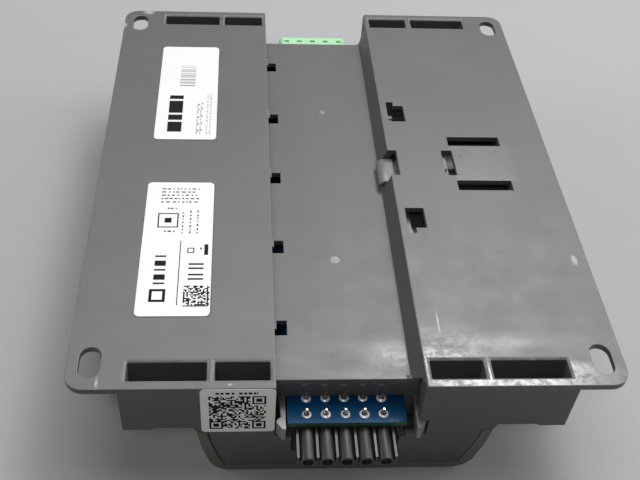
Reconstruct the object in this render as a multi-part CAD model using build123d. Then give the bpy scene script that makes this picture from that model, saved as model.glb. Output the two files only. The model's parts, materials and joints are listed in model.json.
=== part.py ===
"""Rail or panel mounted input/output module, lying on its front cover.

Frame: +Z is up, towards the mounting side; +Y runs along the rail; the near end with the
bus socket is at -Y. The origin is the middle of the front cover's flat face. Millimetres.
"""
from build123d import *
import os

# ---- overall sizes -----------------------------------------------------------------------
LENGTH = 174.0            # along the rail
FLANGE_WIDTH = 143.2
BODY_WIDTH = 117.0        # between the outer faces of the side walls
HEIGHT = 38.4             # front face to mounting face
SKIN = 2.0                # flange and wall thickness
CORNER_R = 5.0
HALF_L = LENGTH / 2
HALF_W = BODY_WIDTH / 2
DECK = HEIGHT - SKIN      # underside of the mounting face

# ---- ledge and end wall heights ----------------------------------------------------------
WALL_FOOT = 20.3          # bottom of the side walls
LEDGE_Z = 21.0            # bottom of the end walls above the terminals
SHOULDER_Z = 18.7         # where the end walls meet the cover's arch

# ---- rail channel ------------------------------------------------------------------------
CHANNEL_LEFT = -19.1
CHANNEL_RIGHT = 18.96
CHANNEL_FLOOR_RIGHT = 16.5
FLOOR_Z = 31.4
FLOOR_Y = (-79.5, 76.8)
CHANNEL_FILLET = 1.6      # at the foot of the sloping right wall
MECHANISM_Y = -0.55       # middle of the latch and of the row of hooks
HOOK_PITCH = 30.8
HOOKS = 5
HOOK_GAP = 1.4            # room for the rail's edge under a hook

# ---- end recesses ------------------------------------------------------------------------
RECESS_RIGHT = 18.7       # edge of the end wall
ARM_RECESS_Z = 24.0
ARM_RECESS_RIGHT = 21.8
ARM_SLOT_RIGHT = 21.35    # edge of the end wall beside the right snap arm
ARM_SLOT_Z = 23.2
RECESS_OUTER = 23.6       # outer face of the recess's right side wall
SLOPE_RUN_OUT = 4.8       # how far the top of the sloping wall runs on past the channel floor
SOCKET_RECESS_Z = 16.5
SOCKET_RECESS_BOTTOM = 8.8
HEADER_RECESS_BOTTOM = 13.4
TONGUE_SLOT_HALF = 15.95
SOCKET_SLOT_HALF = 14.4

# ---- mounting slots ----------------------------------------------------------------------
SLOT_X = 65.8
SLOT_Y = 78.7
SLOT_WIDTH = 5.5
SLOT_LENGTH = 9.6

# ---- end pockets -------------------------------------------------------------------------
POCKET_Y = (78.55, 84.15)
POCKET_X = ((20.5, 34.4), (36.5, 56.5))
POCKET_DEPTH = 13.0
POCKET_BEVEL = 0.6

# ---- latch -------------------------------------------------------------------------------
LATCH_HALF = 5.45
LATCH_TRAVEL = 2.2
LATCH_Z = (32.9, 36.1)
LATCH_ARM_Z = (33.0, 34.4)
LATCH_ARM_X = (22.0, 23.2)
LATCH_STUD = (36.55, 37.35)
NOTCH_X = (15.0, 21.7)    # opening over the latch's nose
NOTCH_HALF = 5.95
TRAY_X = (18.4, 57.6)     # closed tray that holds the latch, under the mounting face
TRAY_HALF = 33.0
TRAY_SKIN = 1.4

# ---- circuit board -----------------------------------------------------------------------
BOARD_TOP = 22.4
BOARD_T = 1.6
BOARD_FRONT = BOARD_TOP - BOARD_T
BOARD_HALF_W = 54.6
BOARD_HALF_L = 74.5
TONGUE_HALF = 15.75
POSTS = [(x, y) for x in (-34.0, 34.0) for y in (-52.0, 52.0)]

# ---- bus connectors ----------------------------------------------------------------------
PITCH = 5.08
BUS_WAYS = 5
BUS_CENTRE = -0.45
BUS_X = [BUS_CENTRE + (i - (BUS_WAYS - 1) / 2) * PITCH for i in range(BUS_WAYS)]
BUS_Z = 17.9
TAIL_ROWS = (-84.15, -79.07)
TUBE_R = 2.05
TUBE_BORE = 1.4
TUBE_END = -95.9
WEB_T = 0.8               # plates between the tubes
SOCKET_HALF = 13.1
SOCKET_Y = (-86.6, -77.7)
SOCKET_BOTTOM = 14.7
CONTACT_R = 1.35
CONTACT_BORE = 0.8
CONTACT_END = -92.6
TAIL_HALF = 0.28
TAIL_TOP = 24.8
BUS_LEG_Y = 69.6
BUS_HEADER_Z = (13.8, 27.2)
BUS_HEADER_Y = (72.0, 87.6)
BUS_HEADER_HALF = 12.9
BUS_PIN_HALF = 0.5
PIN_CLEARANCE = 0.02

# ---- terminals ---------------------------------------------------------------------------
WAYS = 7
TERMINAL_Y = (-42.0, 0.0, 42.0)
WAY_Y = [(i - (WAYS - 1) / 2) * PITCH for i in range(WAYS)]
HEADER_X = (44.2, 56.2)
HEADER_HALF = 18.0
HEADER_Z = (12.2, 20.8)
PIN_Z = 16.5
PLUG_X = (56.6, 67.6)
PLUG_Z = (5.6, 19.9)
PLUG_HALF = 17.8

# ---- labels ------------------------------------------------------------------------------
LABEL_T = 0.1
LABEL_X = -46.15
LABEL_Y = (36.3, -37.35)  # upper and lower label
LABEL_WIDTH = 20.0
LABEL_LENGTH = 53.0
LABEL_R = 1.5
LABEL_GAP = 0.08          # between a label and its shallow recess

# ---- address dials -----------------------------------------------------------------------
DIAL_X = 18.0
DIAL_Y = (-58.0, -44.0)
DIAL_R = 3.4

# ---- marking strip -----------------------------------------------------------------------
STRIP_X = (6.0, 26.0)
STRIP_Y = (-28.0, 60.0)
STRIP_DEPTH = 0.5

# ---- status lights -----------------------------------------------------------------------
LIGHTS = 8
LIGHT_X = -24.0
LIGHT_PITCH = 7.0
LIGHT_PIPE_R = 1.4
LIGHT_Y = [(i - (LIGHTS - 1) / 2) * LIGHT_PITCH for i in range(LIGHTS)]


def block(x, y, z):
    """A box between two corners, given as (low, high) along each axis."""
    size = [abs(high - low) for low, high in (x, y, z)]
    middle = [(low + high) / 2 for low, high in (x, y, z)]
    return Pos(*middle) * Box(*size)


def mirrored_block(side, x, y, z):
    """A box whose X range is measured outwards from the middle on one side."""
    return block((side * x[0], side * x[1]), y, z)


def rod_y(x, y, z, radius):
    """A round rod along Y."""
    return Pos(x, (y[0] + y[1]) / 2, z) * Rot(90, 0, 0) * Cylinder(radius, y[1] - y[0])


def rod_z(x, y, z, radius):
    """A round rod along Z."""
    return Pos(x, y, (z[0] + z[1]) / 2) * Cylinder(radius, z[1] - z[0])


def prism_y(edges, y):
    """A closed outline drawn in the XZ plane, extruded along Y."""
    return Pos(0, y[0], 0) * extrude(make_face(edges), y[1] - y[0], dir=(0, 1, 0))


def polygon_y(points, y):
    """A straight-sided outline of (x, z) points, extruded along Y."""
    return prism_y(Polyline(*[(x, 0, z) for x, z in points], close=True).edges(), y)


def rounded_plate(width, length, radius, z):
    """A plate with rounded corners, centred on the Z axis."""
    return Pos(0, 0, z[0]) * extrude(RectangleRounded(width, length, radius), z[1] - z[0])


# ---- front cover -------------------------------------------------------------------------
ARCH_FOOT = (39.3, 18.6)
ARCH_SIDE = (38.35, 11.5)
ARCH_KNEE = (36.7, 5.4)
ARCH_CORNER = (34.75, 1.6)
ARCH_FLAT = 31.4
LINER_FOOT = (36.8, 18.7)
LINER_SIDE = (35.1, 10.4)
LINER_FLAT = (32.3, 2.1)
END_WALL_GAP = 0.35       # between the end walls and the inside of the arch


def point(pair, side=1):
    """An (x, z) pair as a point in the XZ plane, mirrored for side -1."""
    return (side * pair[0], 0, pair[1])


def arch_outline(top):
    """Outer outline of the cover's arch, closed by a straight line at height top."""
    edges = []
    for side in (-1, 1):
        edges += ThreePointArc(point(ARCH_FOOT, side), point(ARCH_SIDE, side), point(ARCH_KNEE, side)).edges()
        edges += ThreePointArc(point(ARCH_KNEE, side), point(ARCH_CORNER, side), (side * ARCH_FLAT, 0, 0)).edges()
        edges += Line(point(ARCH_FOOT, side), (side * ARCH_FOOT[0], 0, top)).edges()
    edges += Line((-ARCH_FLAT, 0, 0), (ARCH_FLAT, 0, 0)).edges()
    edges += Line((-ARCH_FOOT[0], 0, top), (ARCH_FOOT[0], 0, top)).edges()
    return edges


def liner_outline(top, gap=0.0):
    """Inner outline of the arch, drawn inwards by gap, closed at height top."""
    edges = []
    for side in (-1, 1):
        foot = (side * (LINER_FOOT[0] - gap), 0, LINER_FOOT[1])
        middle = (side * (LINER_SIDE[0] - gap), 0, LINER_SIDE[1])
        flat = (side * (LINER_FLAT[0] - gap), 0, LINER_FLAT[1] + gap)
        edges += ThreePointArc(foot, middle, flat).edges()
        edges += Line(foot, (foot[0], 0, top)).edges()
    low = LINER_FLAT[1] + gap
    edges += Line((-LINER_FLAT[0] + gap, 0, low), (LINER_FLAT[0] - gap, 0, low)).edges()
    edges += Line((-LINER_FOOT[0] + gap, 0, top), (LINER_FOOT[0] - gap, 0, top)).edges()
    return edges


SKIRT_Z = (19.0, 20.6)
SKIRT_END = 84.8
TAB_X = (55.2, 56.2)
TAB_Y = (-72.0, -21.0, 21.0, 72.0)
TAB_HALF = 2.4
BARB = ((55.4, 25.1), (57.0, 25.4), (57.0, 25.8), (56.1, 27.4), (55.4, 27.4))


def cover_skirt(side):
    """The flat ledge beside the arch, open where the terminal headers stand, with snap tabs."""
    skirt = mirrored_block(side, (37.0, TAB_X[1]), (-SKIRT_END, SKIRT_END), SKIRT_Z)
    for y in TERMINAL_Y:
        room = (y - HEADER_HALF - 0.5, y + HEADER_HALF + 0.5)
        skirt -= mirrored_block(side, (42.4, 60.0), room, (SKIRT_Z[0] - 1, SKIRT_Z[1] + 1))
    for y in TAB_Y:
        width = (y - TAB_HALF, y + TAB_HALF)
        skirt += mirrored_block(side, TAB_X, width, (SKIRT_Z[0], BARB[-1][1]))
        skirt += polygon_y([(side * x, z) for x, z in BARB], width)
    return skirt


def front_cover():
    """Curved cover over the electronics, with openings for the dials and status lights."""
    end = (-HALF_L, HALF_L)
    cover = prism_y(arch_outline(SHOULDER_Z), end) - prism_y(liner_outline(SHOULDER_Z + 1), end)
    inside = (-SKIRT_END, SKIRT_END)
    for side in (-1, 1):
        cover += mirrored_block(side, (36.85, ARCH_FOOT[0]), inside, (SHOULDER_Z - 0.3, SKIRT_Z[1]))
        cover += cover_skirt(side)
    for y in DIAL_Y:
        cover -= rod_z(DIAL_X, y, (-1, 3), DIAL_R + 0.25)
    for y in LIGHT_Y:
        cover -= rod_z(LIGHT_X, y, (-1, 3), LIGHT_PIPE_R + 0.1)
    cover -= block(STRIP_X, STRIP_Y, (-1, STRIP_DEPTH))
    return cover


# ---- rear housing ------------------------------------------------------------------------
def slot_cutter(x, y):
    """Rounded slot through a flange corner."""
    slot = extrude(SlotOverall(SLOT_LENGTH, SLOT_WIDTH, rotation=90), SKIN + 2)
    return Pos(x, y, DECK - 1) * slot


def pocket_cutter(x, y):
    """Deep rectangular pocket with a bevelled rim."""
    width = x[1] - x[0]
    depth = y[1] - y[0]
    hole = block(x, y, (HEIGHT - POCKET_DEPTH, HEIGHT + 1))
    rim = extrude(Rectangle(width, depth), POCKET_BEVEL, taper=-45)
    middle = ((x[0] + x[1]) / 2, (y[0] + y[1]) / 2, HEIGHT - POCKET_BEVEL)
    return hole + Pos(*middle) * rim


def end_wall(end):
    """One end wall: full width above the ledges, filling the arch's inside below them."""
    ys = sorted((end * (HALF_L - SKIN), end * HALF_L))
    half = [(HALF_W, DECK + 1), (HALF_W, WALL_FOOT + 0.8), (HALF_W - 0.8, WALL_FOOT), (51.7, WALL_FOOT),
            (50.2, LEDGE_Z), (40.5, LEDGE_Z), (ARCH_FOOT[0] - 0.1, SHOULDER_Z)]
    upper = polygon_y(half + [(-x, z) for x, z in reversed(half)], ys)
    return upper + prism_y(liner_outline(SHOULDER_Z + 0.5, END_WALL_GAP), ys)


def pocket_blocks(end):
    """Solid material around the pockets at one end, on both sides of the channel."""
    ys = (end * (POCKET_Y[0] - 1.65), end * (HALF_L - 0.5))
    zs = (HEIGHT - POCKET_DEPTH - 1.5, DECK + 0.5)
    return mirrored_block(-1, (19.2, HALF_W - 0.5), ys, zs) + mirrored_block(1, (19.2, HALF_W - 0.5), ys, zs)


def corner_cutters(end):
    """Pockets and mounting slots at one end."""
    cuts = []
    for side in (-1, 1):
        for x in POCKET_X:
            xs = sorted((side * x[0], side * x[1]))
            ys = sorted((end * POCKET_Y[0], end * POCKET_Y[1]))
            cuts.append(pocket_cutter(xs, ys))
        cuts.append(slot_cutter(side * SLOT_X, end * SLOT_Y))
    return cuts


def side_walls():
    """The two long walls under the flanges, with windows for the cover's snap tabs."""
    walls = None
    for side in (-1, 1):
        wall = mirrored_block(side, (HALF_W - SKIN, HALF_W), (-HALF_L, HALF_L), (WALL_FOOT, DECK + 1))
        for y in TAB_Y:
            wide = (y - TAB_HALF - 0.4, y + TAB_HALF + 0.4)
            wall -= mirrored_block(side, (HALF_W - 3, HALF_W + 1), wide, (24.6, 27.8))
        walls = wall if walls is None else walls + wall
    return walls


def channel_trough():
    """Floor and side walls of the rail channel."""
    floor = block((CHANNEL_LEFT - SKIN, 18.6), FLOOR_Y, (FLOOR_Z - SKIN, FLOOR_Z))
    left = block((CHANNEL_LEFT - SKIN, CHANNEL_LEFT), (-HALF_L, HALF_L), (FLOOR_Z - SKIN, DECK + 1))
    slope = [(CHANNEL_FLOOR_RIGHT, FLOOR_Z), (CHANNEL_RIGHT, HEIGHT), (21.2, HEIGHT), (18.7, 29.4),
             (CHANNEL_FLOOR_RIGHT, 29.4)]
    right = polygon_y(slope, FLOOR_Y)
    return floor + left + right


def channel_cutter():
    """Everything above the channel floor, with a sloping right wall and a rounded foot."""
    slope = [(CHANNEL_LEFT, FLOOR_Z), (CHANNEL_FLOOR_RIGHT, FLOOR_Z), (CHANNEL_RIGHT, HEIGHT),
             (CHANNEL_RIGHT + 0.35, HEIGHT + 1), (CHANNEL_LEFT, HEIGHT + 1)]
    cutter = polygon_y(slope, (-HALF_L - 1, HALF_L + 1))
    foot = cutter.edges().filter_by(Axis.Y).group_by(Axis.Z)[0].sort_by(Axis.X)[-1]
    return fillet(foot, CHANNEL_FILLET)


def slope_run_out(end):
    """Slanting end of the channel's sloping right wall, past the end of the channel floor."""
    start = FLOOR_Y[0] if end < 0 else FLOOR_Y[1]
    side = [(start - end, FLOOR_Z), (start, FLOOR_Z), (start + end * SLOPE_RUN_OUT, HEIGHT), (start - end, HEIGHT)]
    outline = Polyline(*[(CHANNEL_FLOOR_RIGHT - 1, y, z) for y, z in side], close=True)
    return extrude(make_face(outline.edges()), ARM_RECESS_RIGHT - CHANNEL_FLOOR_RIGHT + 1.5, dir=(1, 0, 0))


def recess_walls(end):
    """Side walls and back wall of the connector recess at one end, which is -1 or 1."""
    back = FLOOR_Y[0] + 1.0 if end < 0 else FLOOR_Y[1]
    far = back - SKIN * end
    outer = end * (HALF_L - SKIN / 2)
    left = CHANNEL_LEFT - SKIN
    foot = HEADER_RECESS_BOTTOM
    walls = block((left, CHANNEL_LEFT), (far, outer), (foot, DECK + 1))
    walls += block((ARM_RECESS_RIGHT, RECESS_OUTER), (far, outer), (foot, DECK + 1))
    walls += slope_run_out(end)
    walls += block((left, RECESS_OUTER), (back, far), (foot, FLOOR_Z - 0.5))
    if end < 0:
        half = SOCKET_SLOT_HALF
        walls += block((-half - SKIN, half + SKIN), (back, far), (SOCKET_RECESS_BOTTOM - SKIN, foot + 1))
        floor = block((-half - SKIN, half + SKIN), (back, outer), (SOCKET_RECESS_BOTTOM - SKIN, foot + 1))
        walls += floor - block((-half, half), (back - 1, outer - 1), (SOCKET_RECESS_BOTTOM, foot + 2))
    return walls


def recess_cutter(end):
    """Openings through an end wall for the connector."""
    outer = end * (HALF_L + 1)
    inner = end * (HALF_L - SKIN - 0.5)
    cut = block((CHANNEL_LEFT, RECESS_RIGHT), (inner, outer), (ARM_SLOT_Z, HEIGHT + 1))
    cut += block((CHANNEL_LEFT, ARM_SLOT_RIGHT), (inner, outer), (SOCKET_RECESS_Z, ARM_SLOT_Z))
    cut += block((-TONGUE_SLOT_HALF, TONGUE_SLOT_HALF), (inner, outer), (SOCKET_RECESS_Z - 0.9, ARM_RECESS_Z))
    foot = SOCKET_RECESS_BOTTOM if end < 0 else HEADER_RECESS_BOTTOM
    cut += block((-SOCKET_SLOT_HALF, SOCKET_SLOT_HALF), (inner, outer), (foot, ARM_RECESS_Z))
    return cut


def back_wall_cutter(end):
    """Slot in a recess's back wall: for the board's tongue at -1, for the header at 1."""
    back = FLOOR_Y[0] if end < 0 else FLOOR_Y[1] + 1
    middle, half, zs = (0, TONGUE_SLOT_HALF, (SOCKET_BOTTOM - 0.7, BOARD_TOP + 0.25))
    if end > 0:
        middle, half, zs = (BUS_CENTRE, BUS_HEADER_HALF + 0.3, (BUS_HEADER_Z[0] - 0.3, BUS_HEADER_Z[1] + 0.2))
    return block((middle - half, middle + half), (back - 4, back + 4), zs)


SNAP_ARMS = ((-16.15, -1), (18.4, 1))     # inner face and side of each arm
ARM_Z = (17.3, 22.4)
ARM_ROOT = -78.0
ARM_TIP = -88.6
ARM_PLAN = ((0.0, ARM_ROOT), (1.9, ARM_ROOT), (1.3, -84.7), (2.45, -85.6), (2.6, -86.4), (1.0, ARM_TIP),
            (0.0, ARM_TIP))               # outwards from the inner face, and along Y


def snap_arm(inner, side):
    """One springy arm beside the bus socket, with an arrow-shaped barb on its outer face."""
    plan = [(inner + side * out, y, ARM_Z[0]) for out, y in ARM_PLAN]
    face = make_face(Polyline(*plan, close=True).edges())
    return extrude(face, ARM_Z[1] - ARM_Z[0], dir=(0, 0, 1))


def rail_hooks():
    """Small hooks on the channel's left wall that hold the rail's edge."""
    hooks = None
    for i in range(HOOKS):
        y = MECHANISM_Y + (i - (HOOKS - 1) / 2) * HOOK_PITCH
        low = FLOOR_Z + HOOK_GAP
        lip = [(CHANNEL_LEFT - 0.5, low), (CHANNEL_LEFT + 0.8, low), (CHANNEL_LEFT + 0.8, low + 0.5),
               (CHANNEL_LEFT - 0.5, low + 1.8)]
        hook = polygon_y(lip, (y - 2.1, y + 2.1))
        hooks = hook if hooks is None else hooks + hook
    return hooks


def hook_windows():
    """Mould openings in the channel floor under the hooks."""
    windows = []
    for i in range(HOOKS):
        y = MECHANISM_Y + (i - (HOOKS - 1) / 2) * HOOK_PITCH
        windows.append(block((CHANNEL_LEFT, -15.5), (y - 2.5, y + 2.5), (FLOOR_Z - 3, FLOOR_Z + 0.5)))
    return windows


def latch_openings():
    """Openings around the latch: nose notch, tongue slots, detent hole, spring arm holes."""
    through = (DECK - 1, HEIGHT + 1)
    y = MECHANISM_Y
    width = (y - NOTCH_HALF, y + NOTCH_HALF)
    cuts = [block(NOTCH_X, width, (LATCH_Z[0] - 0.4, HEIGHT + 1)), block((36.35, 39.8), width, through)]
    for side in (-1, 1):
        cuts.append(block((39.3, 56.4), (y + side * 8.55, y + side * 12.95), through))
        cuts.append(block((21.2, 26.8), (y + side * 21.15, y + side * 29.55), through))
        cuts.append(block((21.2, 23.5), (y + side * 29.5, y + side * 31.65), through))
    return cuts


GUIDE_X = (27.5, 36.0)
POST_R = 3.2
POST_BORE_R = 1.3
POST_BORE_DEPTH = 9.0


def latch_tray():
    """Closed tray under the mounting face that keeps the latch apart from the electronics."""
    ys = (MECHANISM_Y - TRAY_HALF, MECHANISM_Y + TRAY_HALF)
    tray = block(TRAY_X, ys, (FLOOR_Z - SKIN, DECK + 0.5))
    inside = (ys[0] + TRAY_SKIN, ys[1] - TRAY_SKIN)
    return tray - block((TRAY_X[0] - 1, TRAY_X[1] - TRAY_SKIN), inside, (FLOOR_Z, DECK))


def latch_guides():
    """Two ribs under the mounting face that carry the latch."""
    guides = None
    for side in (-1, 1):
        y = MECHANISM_Y
        rib = block(GUIDE_X, (y + side * 6.0, y + side * 7.5), (FLOOR_Z - 0.2, DECK + 0.5))
        rib += block(GUIDE_X, (y + side * 4.4, y + side * 7.5), (FLOOR_Z - 0.2, LATCH_Z[0] - 0.1))
        guides = rib if guides is None else guides + rib
    return guides


def board_posts():
    """Screw posts that carry the circuit board."""
    posts = None
    for x, y in POSTS:
        post = rod_z(x, y, (BOARD_TOP, DECK + 0.5), POST_R)
        posts = post if posts is None else posts + post
    return posts


def label_recesses():
    """Shallow recesses that keep the labels flush with the mounting face."""
    size = (LABEL_WIDTH + 2 * LABEL_GAP, LABEL_LENGTH + 2 * LABEL_GAP, LABEL_R)
    recess = rounded_plate(*size, (HEIGHT - LABEL_T, HEIGHT + 1))
    return [Pos(LABEL_X, y, 0) * recess for y in LABEL_Y]


def rear_housing():
    """The main moulding: mounting face with flanges, rail channel, end walls and pockets."""
    shell = rounded_plate(FLANGE_WIDTH, LENGTH, CORNER_R, (DECK, HEIGHT))
    shell += side_walls()
    shell += latch_tray()
    for end in (-1, 1):
        shell += end_wall(end)
        shell += pocket_blocks(end)
    shell -= channel_cutter()
    shell += channel_trough()
    for end in (-1, 1):
        shell += recess_walls(end)
    shell -= channel_cutter()
    for end in (-1, 1):
        shell -= recess_cutter(end)
        shell -= back_wall_cutter(end)
        for cut in corner_cutters(end):
            shell -= cut
    shell += rail_hooks()
    shell += latch_guides()
    shell += board_posts()
    for cut in hook_windows() + latch_openings() + label_recesses():
        shell -= cut
    for x, y in POSTS:
        shell -= rod_z(x, y, (BOARD_TOP - 1, BOARD_TOP + POST_BORE_DEPTH), POST_BORE_R)
    for inner, side in SNAP_ARMS:
        shell += snap_arm(inner, side)
    return shell


NOSE_TIP = 15.6
NOSE_FLAT = (18.3, 20.7)
NOSE_TOP = 35.1


def din_latch():
    """Sliding latch: hooked nose, guided body, detent stud and two springy side arms."""
    y = MECHANISM_Y
    low, high = LATCH_Z
    edges = ThreePointArc((NOSE_TIP, 0, low + 0.4), (16.5, 0, low + 1.7), (NOSE_FLAT[0], 0, NOSE_TOP)).edges()
    rest = [(NOSE_FLAT[0], NOSE_TOP), (NOSE_FLAT[1], NOSE_TOP), (20.9, 34.2), (21.9, 34.2), (22.5, high),
            (38.0, high), (38.0, low), (NOSE_TIP, low), (NOSE_TIP, low + 0.4)]
    edges += Polyline(*[(x, 0, z) for x, z in rest]).edges()
    latch = prism_y(edges, (y - LATCH_HALF, y + LATCH_HALF))
    latch += block(LATCH_STUD, (y - 2.0, y + 2.0), (high - 0.5, HEIGHT - 0.9))
    latch -= block((30.0, 34.0), (y - 3.0, y + 3.0), (low - 1, high - 1.2))
    for side in (-1, 1):
        latch += block(LATCH_ARM_X, (y + side * 5.0, y + side * 28.6), LATCH_ARM_Z)
        latch += block((21.5, 23.4), (y + side * 26.8, y + side * 28.6), (LATCH_ARM_Z[0], LATCH_ARM_Z[1] + 0.5))
    return latch


# ---- circuit board -----------------------------------------------------------------------
def header_leg_x(side):
    """X of the soldered legs of the terminal headers on one side."""
    return side * 43.3


def main_board():
    """Main circuit board with the connector tongue at its near end."""
    board = block((-BOARD_HALF_W, BOARD_HALF_W), (-BOARD_HALF_L, BOARD_HALF_L), (BOARD_FRONT, BOARD_TOP))
    board += block((-TONGUE_HALF, TONGUE_HALF), (-86.8, -BOARD_HALF_L + 1), (BOARD_FRONT, BOARD_TOP))
    through = (BOARD_FRONT - 1, BOARD_TOP + 1)
    half = BUS_HEADER_HALF + 0.5
    board -= block((BUS_CENTRE - half, BUS_CENTRE + half), (BUS_HEADER_Y[0] - 0.3, BOARD_HALF_L + 1), through)
    for x, y in POSTS:
        board -= rod_z(x, y, through, 1.6)
    for x in BUS_X:
        for y in TAIL_ROWS:
            board -= rod_z(x, y, through, 0.65)
        board -= rod_z(x, BUS_LEG_Y, through, 0.75)
    for side in (-1, 1):
        for centre in TERMINAL_Y:
            for y in WAY_Y:
                board -= rod_z(header_leg_x(side), centre + y, through, 0.75)
    return board


def board_screws():
    """Four screws that hold the board to its posts."""
    screws = []
    for x, y in POSTS:
        screw = rod_z(x, y, (BOARD_FRONT - 2.2, BOARD_FRONT), 2.8)
        screw += rod_z(x, y, (BOARD_FRONT - 1, BOARD_TOP + 8), 1.25)
        screw -= block((x - 2.0, x + 2.0), (y - 0.35, y + 0.35), (BOARD_FRONT - 3, BOARD_FRONT - 1.3))
        screw -= block((x - 0.35, x + 0.35), (y - 2.0, y + 2.0), (BOARD_FRONT - 3, BOARD_FRONT - 1.3))
        screws.append(screw)
    return screws


# ---- bus connectors ----------------------------------------------------------------------
def bus_socket():
    """Five tube sockets side by side, joined by a web and end plates, under the tongue."""
    inside = SOCKET_Y[0] + 1
    width = (BUS_CENTRE - SOCKET_HALF, BUS_CENTRE + SOCKET_HALF)
    socket = block(width, SOCKET_Y, (SOCKET_BOTTOM, BOARD_FRONT))
    socket += block((width[0] + 0.5, width[1] - 0.5), (TUBE_END + 2.2, inside), (BUS_Z - 0.5, BUS_Z + 0.5))
    for x in BUS_X:
        socket += rod_y(x, (TUBE_END, inside), BUS_Z, TUBE_R)
    for i in range(BUS_WAYS + 1):
        x = BUS_CENTRE + (i - BUS_WAYS / 2) * PITCH
        socket += block((x - WEB_T / 2, x + WEB_T / 2), (TUBE_END + 0.4, inside), (BUS_Z - 1.9, BUS_Z + 1.9))
    for x in BUS_X:
        socket -= rod_y(x, (TUBE_END - 1, SOCKET_Y[1] - 0.6), BUS_Z, TUBE_BORE)
        socket -= block((x - 0.6, x + 0.6), (-85.0, SOCKET_Y[1] - 0.6), (BUS_Z, BOARD_FRONT + 1))
    return socket


def bus_contacts():
    """Five sleeve contacts, each with two tails soldered through the tongue."""
    contacts = []
    for x in BUS_X:
        contact = rod_y(x, (CONTACT_END, SOCKET_Y[1] - 0.8), BUS_Z, CONTACT_R)
        contact -= rod_y(x, (CONTACT_END - 1, SOCKET_Y[0]), BUS_Z, CONTACT_BORE)
        for y in TAIL_ROWS:
            contact += block((x - TAIL_HALF, x + TAIL_HALF), (y - TAIL_HALF, y + TAIL_HALF), (BUS_Z, TAIL_TOP))
        contacts.append(contact)
    return contacts


def bus_header():
    """Shrouded five-way header at the far end, which takes the next module's socket."""
    low = BUS_CENTRE - BUS_HEADER_HALF
    high = BUS_CENTRE + BUS_HEADER_HALF
    open_end = BUS_HEADER_Y[1] + 1
    hole = BUS_PIN_HALF + PIN_CLEARANCE
    body = block((low, high), BUS_HEADER_Y, BUS_HEADER_Z)
    body = fillet(body.edges().filter_by(Axis.Y).group_by(Axis.Z)[-1], 1.6)
    body -= block((low + 1.0, high - 1.0), (76.6, open_end), (BUS_HEADER_Z[0] + 0.9, BUS_Z + 3.5))
    for x in BUS_X:
        body -= block((x - 1.1, x + 1.1), (79.0, open_end), (BUS_Z + 3.1, BUS_Z + 5.9))
        body -= block((x - hole, x + hole), (BUS_HEADER_Y[0] - 1, 77), (BUS_Z - hole, BUS_Z + hole))
        body -= block((x - 0.9, x + 0.9), (84.6, 85.8), (BUS_HEADER_Z[1] - 0.8, BUS_HEADER_Z[1] + 1))
    return body


def bus_header_pins():
    """Five bent pins of the far header."""
    pins = []
    half = BUS_PIN_HALF
    for x in BUS_X:
        pin = block((x - half, x + half), (BUS_LEG_Y - half, 85.4), (BUS_Z - half, BUS_Z + half))
        pin += block((x - half, x + half), (BUS_LEG_Y - half, BUS_LEG_Y + half), (BUS_Z, BOARD_TOP + 1.4))
        pins.append(pin)
    return pins


# ---- terminals ---------------------------------------------------------------------------
def terminal_header(side, centre):
    """Open-fronted header housing on the board's edge."""
    body = mirrored_block(side, HEADER_X, (centre - HEADER_HALF, centre + HEADER_HALF), HEADER_Z)
    room = (centre - HEADER_HALF + 0.8, centre + HEADER_HALF - 0.8)
    body -= mirrored_block(side, (47.4, HEADER_X[1] + 1), room, (HEADER_Z[0] + 0.9, HEADER_Z[1] - 0.9))
    for y in WAY_Y:
        hole = (centre + y - 0.52, centre + y + 0.52)
        body -= mirrored_block(side, (HEADER_X[0] - 1, 48), hole, (PIN_Z - 0.52, PIN_Z + 0.52))
    return body


def terminal_pins(side):
    """Bent pins of the three headers on one side."""
    pins = []
    for centre in TERMINAL_Y:
        for y in WAY_Y:
            wide = (centre + y - 0.5, centre + y + 0.5)
            pin = mirrored_block(side, (42.8, 55.0), wide, (PIN_Z - 0.5, PIN_Z + 0.5))
            pin += mirrored_block(side, (42.8, 43.8), wide, (PIN_Z, BOARD_TOP + 1.4))
            pins.append(pin)
    return pins


CLAMP_X = (58.2, 65.2)
SCREW_X = 61.6


def terminal_plug(side, centre):
    """Pull-off plug with a screw and a wire entry for each way."""
    plug = mirrored_block(side, PLUG_X, (centre - PLUG_HALF, centre + PLUG_HALF), PLUG_Z)
    plug += mirrored_block(side, (47.9, PLUG_X[0] + 0.5), (centre - 16.9, centre + 16.9), (13.4, 19.6))
    for way in WAY_Y:
        y = centre + way
        plug -= mirrored_block(side, (47, 59), (y - 1.5, y + 1.5), (PIN_Z - 1.5, PIN_Z + 1.5))
        plug -= mirrored_block(side, CLAMP_X, (y - 1.9, y + 1.9), (13.8, 19.2))
        plug -= mirrored_block(side, (65, 69), (y - 1.6, y + 1.6), (14.6, 18.4))
        plug -= rod_z(side * SCREW_X, y, (PLUG_Z[0] - 1, 14.0), 1.85)
    return plug


def terminal_screws(side, centre):
    """Slotted clamp screws of one plug."""
    screws = []
    for way in WAY_Y:
        y = centre + way
        x = side * SCREW_X
        screw = rod_z(x, y, (6.6, 9.0), 1.75) + rod_z(x, y, (8.5, 15.4), 1.2)
        screw -= block((x - 2, x + 2), (y - 0.3, y + 0.3), (6, 7.5))
        screws.append(screw)
    return screws


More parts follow.
